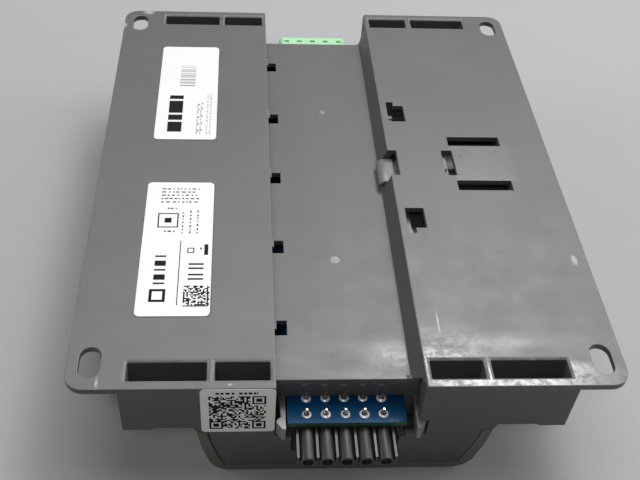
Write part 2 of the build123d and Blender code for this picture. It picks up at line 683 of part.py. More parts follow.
def terminal_clamps(side, centre):
    """Wire cages of one plug, each with two fingers that grip a header pin."""
    clamps = []
    for way in WAY_Y:
        y = centre + way
        wide = (y - 1.7, y + 1.7)
        clamp = mirrored_block(side, (58.4, 65.0), wide, (14.0, 19.0))
        clamp -= mirrored_block(side, (58, 66), (y - 1.3, y + 1.3), (14.6, 18.4))
        clamp -= rod_z(side * SCREW_X, y, (13, 15), 1.25)
        for low in (PIN_Z - 1.0, PIN_Z + 0.6):
            clamp += mirrored_block(side, (50.0, 58.6), (y - 1.0, y + 1.0), (low, low + 0.4))
            clamp += mirrored_block(side, (58.4, 59.0), (y - 1.7, y + 1.7), (low - 0.2, low + 0.6))
        clamps.append(clamp)
    return clamps


# ---- labels ------------------------------------------------------------------------------
def rating_label(middle_y):
    """Thin rounded label, flush with the mounting face."""
    label = rounded_plate(LABEL_WIDTH, LABEL_LENGTH, LABEL_R, (HEIGHT - LABEL_T, HEIGHT))
    return Pos(LABEL_X, middle_y, 0) * label


def end_label():
    """Thin square label on the near end wall."""
    face = Plane.XZ.offset(HALF_L) * RectangleRounded(19.0, 18.8, 1.2)
    return Pos(-28.6, 0, 28.7) * extrude(face, LABEL_T)


# ---- address switches and lights ---------------------------------------------------------
def switch_body(y):
    """Rotary switch housing on the board."""
    body = block((DIAL_X - 5, DIAL_X + 5), (y - 5, y + 5), (15.4, BOARD_FRONT))
    return body - rod_z(DIAL_X, y, (14, 19.0), 2.1)


def address_dial(y):
    """Turning shaft and slotted dial that reaches the front cover."""
    dial = rod_z(DIAL_X, y, (0.7, 2.9), DIAL_R) + rod_z(DIAL_X, y, (2.5, 18.6), 2.0)
    dial -= block((DIAL_X - 2.6, DIAL_X + 2.6), (y - 0.5, y + 0.5), (0, 1.7))
    return dial - Pos(DIAL_X + 2.6, y, 1.0) * Rot(0, 0, 45) * Box(1.2, 1.2, 1.4)


def light_pipes():
    """Clear rods that carry the status lights to the front cover."""
    pipes = []
    for y in LIGHT_Y:
        pipes.append(rod_z(LIGHT_X, y, (0.05, 18.6), LIGHT_PIPE_R))
    return pipes


def status_leds():
    """Surface-mounted lights under the light pipes."""
    return [block((LIGHT_X - 1.6, LIGHT_X + 1.6), (y - 0.8, y + 0.8), (19.4, BOARD_FRONT)) for y in LIGHT_Y]


# ---- electronics -------------------------------------------------------------------------
def on_board(x, y, width, length, height):
    """A rectangular component standing on the board's front face."""
    return block((x - width / 2, x + width / 2), (y - length / 2, y + length / 2),
                 (BOARD_FRONT - height, BOARD_FRONT))


def chip(x, y, width, length, height, leads, pitch):
    """A chip with a row of flat leads along each long side."""
    package = on_board(x, y, width, length, height)
    package -= rod_z(x - width / 2 + 1.4, y - length / 2 + 1.4,
                     (BOARD_FRONT - height - 1, BOARD_FRONT - height + 0.2), 0.6)
    for side in (-1, 1):
        for i in range(leads):
            lead_y = y + (i - (leads - 1) / 2) * pitch
            xs = sorted((x + side * (width / 2 - 0.3), x + side * (width / 2 + 1.2)))
            package += block(xs, (lead_y - pitch / 4, lead_y + pitch / 4), (BOARD_FRONT - 0.4, BOARD_FRONT))
    return package


def relay(x, y):
    """Sealed relay case with a stepped base."""
    return on_board(x, y, 10.0, 20.0, 15.0) + on_board(x, y, 10.6, 20.6, 1.2)


def capacitor(x, y, radius, height):
    """Upright electrolytic capacitor with a rolled neck."""
    can = rod_z(x, y, (BOARD_FRONT - height, BOARD_FRONT), radius)
    groove = rod_z(x, y, (BOARD_FRONT - 2.6, BOARD_FRONT - 1.6), radius + 1)
    return can - (groove - rod_z(x, y, (BOARD_FRONT - 3, BOARD_FRONT - 1), radius - 0.4))


def inductor(x, y):
    """Drum inductor: two flanges and a wound waist."""
    drum = rod_z(x, y, (BOARD_FRONT - 8.0, BOARD_FRONT - 6.5), 6.0)
    drum += rod_z(x, y, (BOARD_FRONT - 7, BOARD_FRONT - 1), 4.6)
    return drum + rod_z(x, y, (BOARD_FRONT - 1.5, BOARD_FRONT), 6.0)


def fuse(x, y):
    """Soldered cartridge fuse lying along Y, with two end caps on feet."""
    tube = rod_y(x, (y - 8, y + 8), BOARD_FRONT - 3.0, 2.2)
    for end in (-1, 1):
        ys = sorted((y + end * 6, y + end * 10))
        tube += rod_y(x, ys, BOARD_FRONT - 3.0, 2.6)
        tube += block((x - 0.6, x + 0.6), (y + end * 8 - 0.6, y + end * 8 + 0.6), (BOARD_FRONT - 1, BOARD_FRONT))
    return tube


RELAY_Y = (-8.0, 14.0, 36.0)
RELAY_X = (2.0, 26.5)


def write(name, shape):
    """Write one node; a list of solids becomes one group."""
    if isinstance(shape, list):
        shape = Compound(children=shape)
    export_step(shape, "parts/" + name + ".step")


def write_terminals():
    """Headers, plugs, screws and clamps on both sides, numbered from the near end."""
    for side, name in ((-1, "left"), (1, "right")):
        write("header_pins_" + name, terminal_pins(side))
        for number, centre in enumerate(TERMINAL_Y, 1):
            tag = name + "_" + str(number)
            write("terminal_header_" + tag, terminal_header(side, centre))
            write("terminal_plug_" + tag, terminal_plug(side, centre))
            write("plug_screws_" + tag, terminal_screws(side, centre))
            write("plug_clamps_" + tag, terminal_clamps(side, centre))


def write_electronics():
    """Components on the front face of the board."""
    write("processor", chip(-6.0, -46.0, 14.0, 14.0, 1.6, 12, 1.0))
    write("memory_chip", chip(-6.0, -28.0, 5.0, 6.0, 1.6, 4, 1.27))
    write("bus_driver_chip", chip(-6.0, -64.0, 5.0, 10.0, 1.8, 7, 1.27))
    write("supply_capacitor_large", capacitor(-12.0, 58.0, 6.25, 15.0))
    write("supply_capacitor_small", capacitor(2.0, 58.0, 4.0, 11.0))
    write("supply_inductor", inductor(-12.0, 38.0))
    write("supply_fuse", fuse(25.0, 60.0))
    number = 0
    for x in RELAY_X:
        for y in RELAY_Y:
            number += 1
            write("output_relay_" + str(number), relay(x, y))


def write_all():
    """Write every node of the module."""
    os.makedirs("parts", exist_ok=True)
    write("rear_housing", rear_housing())
    write("front_cover", front_cover())
    write("din_latch", din_latch())
    write("main_board", main_board())
    write("board_screws", board_screws())
    write("bus_socket", bus_socket())
    write("bus_contacts", bus_contacts())
    write("bus_header", bus_header())
    write("bus_header_pins", bus_header_pins())
    for name, y in zip(("upper", "lower"), LABEL_Y):
        write("rating_label_" + name, rating_label(y))
    write("end_label", end_label())
    write("light_pipes", light_pipes())
    write("status_leds", status_leds())
    for name, y in zip(("ones", "tens"), DIAL_Y):
        write("address_switch_" + name, switch_body(y))
        write("address_dial_" + name, address_dial(y))
    write_terminals()
    write_electronics()


write_all()
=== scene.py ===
"""Looks for the rail-mounted module: materials, labels, solder, small moulded detail, floor and light.

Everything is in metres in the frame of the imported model. The module lies on its front cover, so +Z is
its mounting side, and the bus socket is at the near end, -Y.
"""
import bpy
import bmesh
import json
import math
import random
from mathutils import Matrix, Vector


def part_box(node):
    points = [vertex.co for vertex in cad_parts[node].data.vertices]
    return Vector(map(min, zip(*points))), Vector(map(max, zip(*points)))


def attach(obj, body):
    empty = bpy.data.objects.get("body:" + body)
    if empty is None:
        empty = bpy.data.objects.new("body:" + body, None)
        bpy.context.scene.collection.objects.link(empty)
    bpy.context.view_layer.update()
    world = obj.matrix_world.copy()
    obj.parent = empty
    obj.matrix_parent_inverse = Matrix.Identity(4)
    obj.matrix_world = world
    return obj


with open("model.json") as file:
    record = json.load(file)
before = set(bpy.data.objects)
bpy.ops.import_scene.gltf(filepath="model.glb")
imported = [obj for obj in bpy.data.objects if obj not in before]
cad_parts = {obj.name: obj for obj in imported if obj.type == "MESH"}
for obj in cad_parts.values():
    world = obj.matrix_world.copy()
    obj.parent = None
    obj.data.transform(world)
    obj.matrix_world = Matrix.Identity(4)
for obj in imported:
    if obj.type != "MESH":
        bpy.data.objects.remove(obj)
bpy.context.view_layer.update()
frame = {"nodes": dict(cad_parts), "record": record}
MM = 0.001
TOP = 0.0384              # height of the mounting face
CHANNEL_FLOOR = 0.0314    # height of the rail channel's floor


# ---- camera ------------------------------------------------------------------------------
def make_camera():
    """Camera about 45 degrees above the near end, slightly to the left of the middle."""
    data = bpy.data.cameras.new("camera")
    data.sensor_width = 36.0
    data.lens = 50.4
    data.shift_x = 0.0314
    data.clip_start = 0.01
    camera = bpy.data.objects.new("camera", data)
    camera.location = (-0.0274, -0.2166, 0.2218)
    camera.rotation_euler = [math.radians(a) for a in (44.70, -2.66, -2.47)]
    bpy.context.scene.collection.objects.link(camera)
    bpy.context.scene.camera = camera


make_camera()


# ---- material building -------------------------------------------------------------------
class Surface:
    """A node material with one Principled shader, built by a few short calls."""

    def __init__(self, name, roughness=0.5, **sockets):
        self.material = bpy.data.materials.new(name)
        self.material.use_nodes = True
        self.tree = self.material.node_tree
        self.shader = self.tree.nodes["Principled BSDF"]
        self.shader.inputs["Roughness"].default_value = roughness
        for socket, value in sockets.items():
            self.shader.inputs[socket.replace("_", " ")].default_value = value
        self.place = self.node("ShaderNodeTexCoord").outputs["Object"]

    def node(self, kind, **settings):
        """Adds a node and sets its properties."""
        made = self.tree.nodes.new(kind)
        for name, value in settings.items():
            setattr(made, name, value)
        return made

    def feed(self, socket, value):
        """Links a socket, or sets it to a plain value."""
        if isinstance(value, bpy.types.NodeSocket):
            self.tree.links.new(value, socket)
        else:
            socket.default_value = value

    def set(self, name, value):
        """Feeds one of the shader's own sockets."""
        self.feed(self.shader.inputs[name], value)

    def stretched(self, scale, offset=(0, 0, 0)):
        """Object coordinates scaled along each axis."""
        made = self.node("ShaderNodeMapping")
        self.feed(made.inputs["Vector"], self.place)
        made.inputs["Scale"].default_value = scale
        made.inputs["Location"].default_value = offset
        return made.outputs["Vector"]

    def noise(self, scale, detail=3.0, rough=0.5, where=None):
        """Soft noise about 0.5."""
        made = self.node("ShaderNodeTexNoise")
        self.feed(made.inputs["Vector"], where or self.place)
        made.inputs["Scale"].default_value = scale
        made.inputs["Detail"].default_value = detail
        made.inputs["Roughness"].default_value = rough
        return made.outputs["Fac"]

    def math(self, operation, a, b=0.0):
        """One step of arithmetic."""
        made = self.node("ShaderNodeMath", operation=operation)
        for socket, value in zip(made.inputs, (a, b)):
            self.feed(socket, value)
        return made.outputs[0]

    def joined(self, operation, values):
        """One operation carried through a row of values."""
        result = values[0]
        for value in values[1:]:
            result = self.math(operation, result, value)
        return result

    def product(self, *values):
        return self.joined("MULTIPLY", values)

    def largest(self, *values):
        return self.joined("MAXIMUM", values)

    def distance(self, value, middle):
        """How far a value is from a middle, either way."""
        return self.math("ABSOLUTE", self.math("SUBTRACT", value, middle))

    def rise(self, value, low, high, start=0.0, end=1.0):
        """A clamped straight ramp from low to high."""
        made = self.node("ShaderNodeMapRange")
        for name, number in (("Value", value), ("From Min", low), ("From Max", high),
                             ("To Min", start), ("To Max", end)):
            self.feed(made.inputs[name], number)
        return made.outputs["Result"]

    def between(self, value, start, full, full_end, end):
        """1 from full to full_end, falling to 0 at start and at end."""
        return self.product(self.rise(value, start, full), self.rise(value, end, full_end))

    def mix(self, factor, a, b):
        """Colour a turning into colour b."""
        made = self.node("ShaderNodeMix", data_type="RGBA")
        for index, value in ((0, factor), (6, a), (7, b)):
            self.feed(made.inputs[index], value)
        return made.outputs[2]

    def axis(self, which):
        """One coordinate of the object's own frame, in metres."""
        made = self.node("ShaderNodeSeparateXYZ")
        self.feed(made.inputs[0], self.place)
        return made.outputs[which]

    def upward(self):
        """How far a face looks along +Z, from -1 to 1."""
        geometry = self.node("ShaderNodeNewGeometry")
        made = self.node("ShaderNodeSeparateXYZ")
        self.feed(made.inputs[0], geometry.outputs["Normal"])
        return made.outputs["Z"]

    def bump(self, height, strength, distance, under=None):
        """Relief on the surface, on top of the relief under it."""
        made = self.node("ShaderNodeBump")
        self.feed(made.inputs["Height"], height)
        made.inputs["Strength"].default_value = strength
        made.inputs["Distance"].default_value = distance
        if under is not None:
            self.feed(made.inputs["Normal"], under)
        return made.outputs["Normal"]

    def spot(self, centre, radius, softness=0.5):
        """1 near a point, falling to 0 at its radius; radius may differ along each axis."""
        offset = self.node("ShaderNodeVectorMath", operation="SUBTRACT")
        self.feed(offset.inputs[0], self.place)
        offset.inputs[1].default_value = centre
        scaled = self.node("ShaderNodeVectorMath", operation="DIVIDE")
        self.feed(scaled.inputs[0], offset.outputs[0])
        scaled.inputs[1].default_value = radius
        length = self.node("ShaderNodeVectorMath", operation="LENGTH")
        self.feed(length.inputs[0], scaled.outputs[0])
        return self.rise(length.outputs["Value"], 1.0, 1.0 - softness)


def colour(value, *rest):
    """A linear RGBA colour from a grey level or three levels."""
    levels = (value,) + rest if rest else (value, value, value)
    return levels + (1.0,)


def moulded(name, dark, light, roughness, grain=0.12, grain_scale=2600.0):
    """Moulded plastic: cloudy colour, fine grain, a slight waviness and uneven gloss."""
    skin = Surface(name)
    clouds = skin.noise(28.0, 4.0, 0.6)
    fine = skin.noise(900.0, 2.0, 0.5)
    tone = skin.math("ADD", skin.product(clouds, 0.75), skin.product(fine, 0.25))
    skin.set("Base Color", skin.mix(skin.rise(tone, 0.3, 0.7), dark, light))
    gloss = skin.noise(140.0, 5.0, 0.65)
    skin.set("Roughness", skin.rise(gloss, 0.25, 0.75, roughness - 0.07, roughness + 0.09))
    grained = skin.bump(skin.noise(grain_scale, 2.0, 0.6), grain, 0.00004)
    skin.set("Normal", skin.bump(skin.noise(9.0, 2.0, 0.4), 0.25, 0.0006, grained))
    return skin.material


# Marks on the housing. Places are in metres. A spot has a centre, three radii and a softness.
NICKS = (                 # x, y, half width and half length, on the mounting face
    (0.0677, -0.0433, 0.0011, 0.0026),
    (-0.0630, 0.0860, 0.0026, 0.0020),
    (-0.0713, 0.0767, 0.0010, 0.0022),
    (-0.0305, -0.0858, 0.0009, 0.0004),
    (0.0475, -0.0785, 0.0012, 0.0005),
    (0.0245, -0.0660, 0.0003, 0.0050),
    (-0.0634, -0.0850, 0.0005, 0.0022),
)
NICK_DEPTH = 0.001        # how far a nick reaches above and below its face
WORN_DEPTH = 0.004        # and a worn spot
RIM_DEPTH = 0.003         # and the polish on the pocket rims
ARMS_MIDDLE = 0.00112     # the two snap arms stand evenly about this x
TONGUE_MIDDLE = -0.0005   # the tongue over the latch lies evenly about this y
NICK_GREY = 0.50
SCRATCH_AND_SHEEN_GREY = 0.17       # also the tone of the painted sheen on the tongue
# tone of the painted highlight on edge radii and chamfers
EDGE_HIGHLIGHT_GREY = 0.25
# tone of the painted light on the snap arms
ARM_PAINTED_LIGHT_GREY = 0.27


def nicks(skin):
    """A few small ragged white nicks."""
    ragged = []
    for x, y, half_width, half_length in NICKS:
        shape = skin.spot((x, y, TOP), (half_width, half_length, NICK_DEPTH), 0.8)
        ragged.append(skin.product(shape, skin.rise(skin.noise(2500.0, 3.0), 0.35, 0.6)))
    return skin.largest(*ragged)


def scratches(skin):
    """Broken streaks along the rail channel's length, and finer hairs across it."""
    streaks = skin.noise(1.0, 6.0, 0.7, skin.stretched((500.0, 14.0, 500.0)))
    hairs = skin.noise(1.0, 4.0, 0.6, skin.stretched((30.0, 900.0, 900.0), (3.1, 0.7, 0.0)))
    broken = skin.product(skin.rise(streaks, 0.66, 0.72), skin.rise(skin.noise(35.0, 2.0), 0.45, 0.6))
    return skin.largest(broken, skin.product(skin.rise(hairs, 0.68, 0.73), 0.6))


def latch_tongue(skin):
    """The springy tongue between the two slots over the latch; it is lightened in colour as a painted
    sheen, and made glossier.
    """
    along = skin.between(skin.axis("X"), 0.0390, 0.0400, 0.0530, 0.0600)
    across = skin.rise(skin.distance(skin.axis("Y"), TONGUE_MIDDLE), 0.0100, 0.0088)
    outside = skin.rise(skin.axis("Z"), 0.0370, 0.0380)
    return skin.product(along, across, outside)


def painted_light_on_snap_arms(skin):
    """The two snap arms beside the bus socket, painted lighter as painted light where they lie in shade.
    """
    thick = skin.between(skin.distance(skin.axis("X"), ARMS_MIDDLE), 0.0171, 0.0172, 0.0199, 0.0200)
    tall = skin.between(skin.axis("Z"), 0.0170, 0.0173, 0.0224, 0.0227)
    near_end = skin.rise(skin.axis("Y"), -0.0815, -0.0835)
    return skin.product(thick, tall, near_end)


def painted_edge_highlights(skin):
    """Painted highlight on faces that tilt between upright and flat, which are chamfers and moulding
    radii.
    """
    tilted = skin.between(skin.upward(), 0.45, 0.60, 0.88, 0.97)
    return skin.product(tilted, skin.rise(skin.noise(260.0, 3.0), 0.30, 0.60, 0.35, 0.75))


def worn_places(skin):
    """Where hands have polished the bus end: two strong spots and two faint bands."""
    right_corner = skin.spot((0.0245, -0.0765, TOP), (0.019, 0.013, WORN_DEPTH), 0.75)
    channel_end = skin.spot((0.011, -0.0755, CHANNEL_FLOOR), (0.014, 0.012, WORN_DEPTH), 0.8)
    beside_pockets = skin.spot((0.045, -0.0745, TOP), (0.034, 0.006, WORN_DEPTH), 0.9)
    across_channel = skin.spot((-0.001, -0.0735, CHANNEL_FLOOR), (0.024, 0.008, WORN_DEPTH), 0.8)
    return skin.largest(right_corner, channel_end, skin.product(beside_pockets, 0.5),
                        skin.product(across_channel, 0.55))


def polished_rims(skin):
    """Patchy polish on the rims round the near right pockets."""
    place = skin.spot((0.046, -0.0845, TOP), (0.032, 0.0062, RIM_DEPTH), 0.25)
    return skin.product(place, skin.rise(skin.noise(420.0, 4.0, 0.7), 0.30, 0.55))


def housing_plastic():
    """The grey mounting-side moulding, with its scratches, nicks, painted highlights on edge radii,
    painted light on the snap arms, painted sheen on the latch tongue and polished spots.
    """
    skin = Surface("housing_plastic_look")
    clouds = skin.noise(22.0, 4.0, 0.55)
    fine = skin.noise(1100.0, 2.0, 0.5)
    tone = skin.math("ADD", skin.product(clouds, 0.8), skin.product(fine, 0.2))
    base = skin.mix(skin.rise(tone, 0.3, 0.7), colour(0.080, 0.081, 0.083), colour(0.094, 0.095, 0.097))
    scratch = scratches(skin)
    tongue = latch_tongue(skin)
    # Scratches are lightened as real wear; the latch tongue is lightened as a painted sheen.
    lighter = skin.largest(skin.product(scratch, 0.22), skin.product(tongue, 0.40))
    shade = skin.mix(lighter, base, colour(SCRATCH_AND_SHEEN_GREY))
    # Painted highlight: edge radii and chamfers are lightened by how far they tilt up.
    shade = skin.mix(painted_edge_highlights(skin), shade, colour(EDGE_HIGHLIGHT_GREY))
    # Painted light: the snap arms are lightened where they lie in shade.
    shade = skin.mix(painted_light_on_snap_arms(skin), shade, colour(ARM_PAINTED_LIGHT_GREY))
    skin.set("Base Color", skin.mix(nicks(skin), shade, colour(NICK_GREY)))

    worn = worn_places(skin)
    smears = skin.noise(1.0, 4.0, 0.55, skin.stretched((50.0, 170.0, 70.0)))
    patchy = skin.product(worn, skin.rise(smears, 0.26, 0.62))
    polished = skin.largest(patchy, polished_rims(skin), skin.product(tongue, 0.5))
    rough = skin.rise(skin.noise(120.0, 5.0, 0.65), 0.25, 0.75, 0.40, 0.52)
    skin.set("Roughness", skin.math("SUBTRACT", rough, skin.product(polished, 0.29)))

    glitter = skin.product(worn, skin.rise(skin.noise(700.0, 4.0, 0.7), 0.50, 0.64))
    grained = skin.bump(skin.noise(3000.0, 2.0, 0.6), 0.10, 0.00004)
    rippled = skin.bump(glitter, 0.45, 0.00005, grained)
    wavy = skin.bump(skin.noise(11.0, 2.0, 0.4), 0.13, 0.0008, rippled)
    skin.set("Normal", skin.bump(scratch, 0.15, 0.00003, wavy))
    return skin.material


def board_blue():
    """Blue solder mask over tracks, with a bare glass-fibre edge."""
    skin = Surface("board_look", roughness=0.24, Specular_IOR_Level=0.09)
    uneven = skin.rise(skin.noise(90.0, 3.0), 0.35, 0.65)
    mask = skin.mix(uneven, colour(0.0018, 0.031, 0.098), colour(0.003, 0.045, 0.135))
    track = skin.node("ShaderNodeTexBrick", offset=0.37, squash=0.6, squash_frequency=3)
    skin.feed(track.inputs["Vector"], skin.stretched((420.0, 300.0, 300.0)))
    track.inputs["Mortar Size"].default_value = 0.10
    track.inputs["Mortar Smooth"].default_value = 0.4
    lines = track.outputs["Fac"]
    face = skin.mix(skin.product(lines, 0.55), mask, colour(0.003, 0.055, 0.125))
    weave = skin.rise(skin.noise(1.0, 2.0, 0.5, skin.stretched((2500.0, 2500.0, 400.0))), 0.3, 0.7)
    edge = skin.mix(weave, colour(0.030, 0.100, 0.045), colour(0.060, 0.150, 0.075))
    flat = skin.rise(skin.math("ABSOLUTE", skin.upward()), 0.4, 0.6)
    skin.set("Base Color", skin.mix(flat, edge, face))
    skin.set("Normal", skin.bump(lines, 0.35, 0.00003))
    return skin.material


def metal(name, tone, roughness):
    """Plated metal with fine upright brushing and dull spots."""
    skin = Surface(name, Metallic=1.0)
    spots = skin.noise(700.0, 4.0, 0.65)
    darker = colour(*(level * 0.72 for level in tone[:3]))
    skin.set("Base Color", skin.mix(skin.rise(spots, 0.35, 0.7), darker, tone))
    skin.set("Roughness", skin.rise(spots, 0.3, 0.7, roughness + 0.12, roughness))
    brushed = skin.noise(1.0, 3.0, 0.6, skin.stretched((1500.0, 1500.0, 150.0)))
    skin.set("Normal", skin.bump(brushed, 0.12, 0.00002))
    return skin.material


def paper(name, white, stain):
    """Slightly glossy label film, with faint fibres and handling marks."""
    skin = Surface(name, roughness=0.42)
    fibre = skin.noise(1800.0, 3.0, 0.6)
    marks = skin.rise(skin.noise(70.0, 5.0, 0.7), 0.45, 0.75)
    clean = skin.mix(skin.rise(fibre, 0.2, 0.8), stain, white)
    skin.set("Base Color", skin.mix(skin.product(marks, 0.25), clean, stain))
    skin.set("Normal", skin.bump(fibre, 0.08, 0.00002))
    return skin.material


def ink(name, tone, faded):
    """Printed ink with uneven cover."""
    skin = Surface(name, roughness=0.6, Specular_IOR_Level=0.12)
    skin.set("Base Color", skin.mix(skin.rise(skin.noise(2600.0, 3.0, 0.6), 0.45, 0.75), tone, faded))
    return skin.material


def clear_rod():
    """Clear acrylic with a faint haze in its colour."""
    skin = Surface("clear_look", roughness=0.12, Transmission_Weight=0.85, IOR=1.49)
    haze = skin.noise(300.0, 2.0)
    skin.set("Base Color", skin.mix(haze, colour(0.82, 0.86, 0.86), colour(0.92, 0.95, 0.94)))
    skin.set("Normal", skin.bump(skin.noise(800.0, 2.0), 0.06, 0.00003))
    return skin.material


def cover_plastic():
    """Front cover: a touch warmer and more textured than the housing."""
    return moulded("cover_plastic_look", colour(0.120, 0.110, 0.092), colour(0.150, 0.138, 0.118),
                   roughness=0.55, grain=0.30, grain_scale=1900.0)


MOULDED = {               # slot: look, darker colour, lighter colour, roughness
    "latch_plastic": ("latch_look", (0.135, 0.135, 0.14), (0.165, 0.165, 0.17), 0.40),
    "socket_plastic": ("socket_look", (0.020, 0.020, 0.022), (0.030, 0.030, 0.032), 0.36),
    "header_green": ("header_look", (0.34, 0.60, 0.36), (0.40, 0.68, 0.43), 0.35),
    "terminal_header_green": ("terminal_header_look", (0.035, 0.16, 0.060), (0.05, 0.21, 0.085), 0.36),
    "terminal_plug_green": ("terminal_plug_look", (0.04, 0.18, 0.070), (0.06, 0.24, 0.10), 0.36),
    "led_plastic": ("led_look", (0.60, 0.63, 0.45), (0.72, 0.75, 0.55), 0.3),
    "dial_plastic": ("dial_look", (0.62, 0.61, 0.57), (0.70, 0.69, 0.65), 0.38),
    "switch_plastic": ("switch_look", (0.022,), (0.035,), 0.35),
    "relay_case": ("relay_look", (0.016,), (0.026,), 0.3),
    "capacitor_sleeve": ("capacitor_look", (0.014, 0.014, 0.04), (0.02, 0.02, 0.06), 0.3),
    "ferrite": ("ferrite_look", (0.035,), (0.06, 0.055, 0.05), 0.6),
    "fuse_ceramic": ("fuse_look", (0.72, 0.70, 0.64), (0.80, 0.78, 0.72), 0.35),
    "chip_plastic": ("chip_look", (0.016,), (0.024,), 0.5),
}
METALS = {                # slot: look, colour, roughness
    "screw_steel": ("screw_look", (0.62, 0.62, 0.60), 0.28),
    "contact_brass": ("contact_look", (0.72, 0.62, 0.42), 0.25),
    "tinned_pin": ("pin_look", (0.75, 0.75, 0.73), 0.2),
}
FILMS = {                 # slot: look, clean colour, stained colour
    "rating_label_film": ("rating_label_look", (0.72, 0.72, 0.715), (0.63, 0.63, 0.62)),
    "end_label_film": ("end_label_look", (0.88, 0.86, 0.82), (0.78, 0.76, 0.72)),
}


def make_looks():
    """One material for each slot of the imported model."""
    made = {"housing_plastic": housing_plastic(), "cover_plastic": cover_plastic(),
            "board_blue": board_blue(), "clear_plastic": clear_rod()}
    for slot, (name, dark, light, roughness) in MOULDED.items():
        made[slot] = moulded(name, colour(*dark), colour(*light), roughness)
    for slot, (name, tone, roughness) in METALS.items():
        made[slot] = metal(name, colour(*tone), roughness)
    for slot, (name, clean, stained) in FILMS.items():
        made[slot] = paper(name, colour(*clean), colour(*stained))
    return made


looks = make_looks()


def dress_nodes():
    """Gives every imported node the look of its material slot."""
    for part in frame["record"]["subparts"]:
        piece = frame["nodes"][part["node"]]
        piece.data.materials.clear()
        piece.data.materials.append(looks[part["material_slot"]])


def soften(node, width):
    """Rounds a node's edges by a small moulding radius."""
    piece = frame["nodes"][node]
    weld = piece.modifiers.new("weld", "WELD")
    weld.merge_threshold = 0.002 * MM
    bevel = piece.modifiers.new("moulding_radius", "BEVEL")
    bevel.width = width
    bevel.segments = 2
    bevel.limit_method = "ANGLE"
    bevel.angle_limit = math.radians(35.0)
    bevel.use_clamp_overlap = False
    bevel.loop_slide = False
    bevel.harden_normals = True


dress_nodes()
soften("rear_housing", 0.25 * MM)
soften("front_cover", 0.2 * MM)
for small_moulding in ("bus_socket", "bus_header", "din_latch"):
    soften(small_moulding, 0.12 * MM)


# ---- mesh helpers ------------------------------------------------------------------------
def piece_from(mesh_data, name, body, look):
    """Makes a shown piece that rides on a body."""
    piece = bpy.data.objects.new(name, mesh_data)
    bpy.context.scene.collection.objects.link(piece)
    piece.data.materials.append(look)
    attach(piece, body)
    return piece


def add_box(mesh, low, high):
    """Adds a closed box between two corners."""
    middle = [(a + b) / 2 for a, b in zip(low, high)]
    size = [b - a for a, b in zip(low, high)]
    placed = Matrix.Translation(middle) @ Matrix.Diagonal((*size, 1.0))
    bmesh.ops.create_cube(mesh, size=1.0, matrix=placed)


def finish_mesh(mesh, name):
    """Turns a bmesh into mesh data."""
    data = bpy.data.meshes.new(name)
    mesh.to_mesh(data)
    mesh.free()
    return data


def lathe(mesh, profile, centre, steps):
    """Turns a profile of (radius, z) points about a vertical axis into a closed form."""
    rings = []
    for radius, z in profile:
        ring = []
        for i in range(steps):
            angle = 2 * math.pi * i / steps
            ring.append(mesh.verts.new((centre[0] + radius * math.cos(angle),
                                        centre[1] + radius * math.sin(angle), centre[2] + z)))
        rings.append(ring)
    for lower, upper in zip(rings, rings[1:]):
        for i in range(steps):
            j = (i + 1) % steps
            mesh.faces.new((lower[i], lower[j], upper[j], upper[i]))
    mesh.faces.new(list(reversed(rings[0])))
    mesh.faces.new(rings[-1])


# ---- labels ------------------------------------------------------------------------------
INK_THICKNESS = 0.02 * MM
ON_MOUNTING_SIDE = ((0, 1), (2, 1))     # the axes across and up a label, and which way it faces
ON_NEAR_END = ((0, 2), (1, -1))
SQUARE_CELLS = 7                        # width of a nested square, in cells of the block pattern
BLACK = ink("black_ink_look", colour(0.004), colour(0.014))
GREY_INK = ink("grey_ink_look", colour(0.30, 0.28, 0.27), colour(0.48, 0.46, 0.45))


class Print:
    """Ink laid on a flat label: marks are given in millimetres from the label's low corner."""

    def __init__(self, node, side):
        self.low, self.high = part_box(node)
        self.along, self.out = side
        self.mesh = bmesh.new()

    def bar(self, u0, u1, v0, v1):
        """A filled rectangle."""
        low = list(self.low)
        high = list(self.high)
        for axis, (start, end) in zip(self.along, ((u0, u1), (v0, v1))):
            low[axis] = self.low[axis] + start * MM
            high[axis] = self.low[axis] + end * MM
        axis, sign = self.out
        face = self.high[axis] if sign > 0 else self.low[axis]
        low[axis] = face - INK_THICKNESS
        high[axis] = face + INK_THICKNESS
        add_box(self.mesh, low, high)

    def frame(self, u0, u1, v0, v1, width):
        """A rectangular outline."""
        self.bar(u0, u1, v0, v0 + width)
        self.bar(u0, u1, v1 - width, v1)
        self.bar(u0, u0 + width, v0 + width, v1 - width)
        self.bar(u1 - width, u1, v0 + width, v1 - width)

    def dashes(self, draw, u0, u1, v0, v1, length, gap):
        """A row of uneven dashes that stands for small print; it runs along the longer side."""
        upright = (v1 - v0) > (u1 - u0)
        here, end = (v0, v1) if upright else (u0, u1)
        while here < end:
            step = draw.uniform(0.5, 1.6) * length
            stop = min(here + step, end)
            if upright:
                self.bar(u0, u1, here, stop)
            else:
                self.bar(here, stop, v0, v1)
            here = stop + draw.uniform(0.6, 1.5) * gap

    def matrix(self, draw, u0, v0, cell, count, blank=()):
        """A random block pattern that holds no message; it leaves room for each nested square in blank."""
        room = SQUARE_CELLS + 1
        for row in range(count):
            run = None
            for column in range(count + 1):
                inside = any(a <= column < a + room and b <= row < b + room for a, b in blank)
                filled = column < count and not inside and draw.random() < 0.5
                if filled and run is None:
                    run = column
                if not filled and run is not None:
                    self.bar(u0 + run * cell, u0 + column * cell, v0 + row * cell, v0 + (row + 1) * cell)
                    run = None

    def nested_square(self, u, v, cell):
        """A square outline round a filled square."""
        self.frame(u, u + SQUARE_CELLS * cell, v, v + SQUARE_CELLS * cell, cell)
        self.bar(u + 2 * cell, u + 5 * cell, v + 2 * cell, v + 5 * cell)

    def done(self, name, look):
        """Makes the marks laid so far into one piece."""
        return piece_from(finish_mesh(self.mesh, name), name, "module", look)


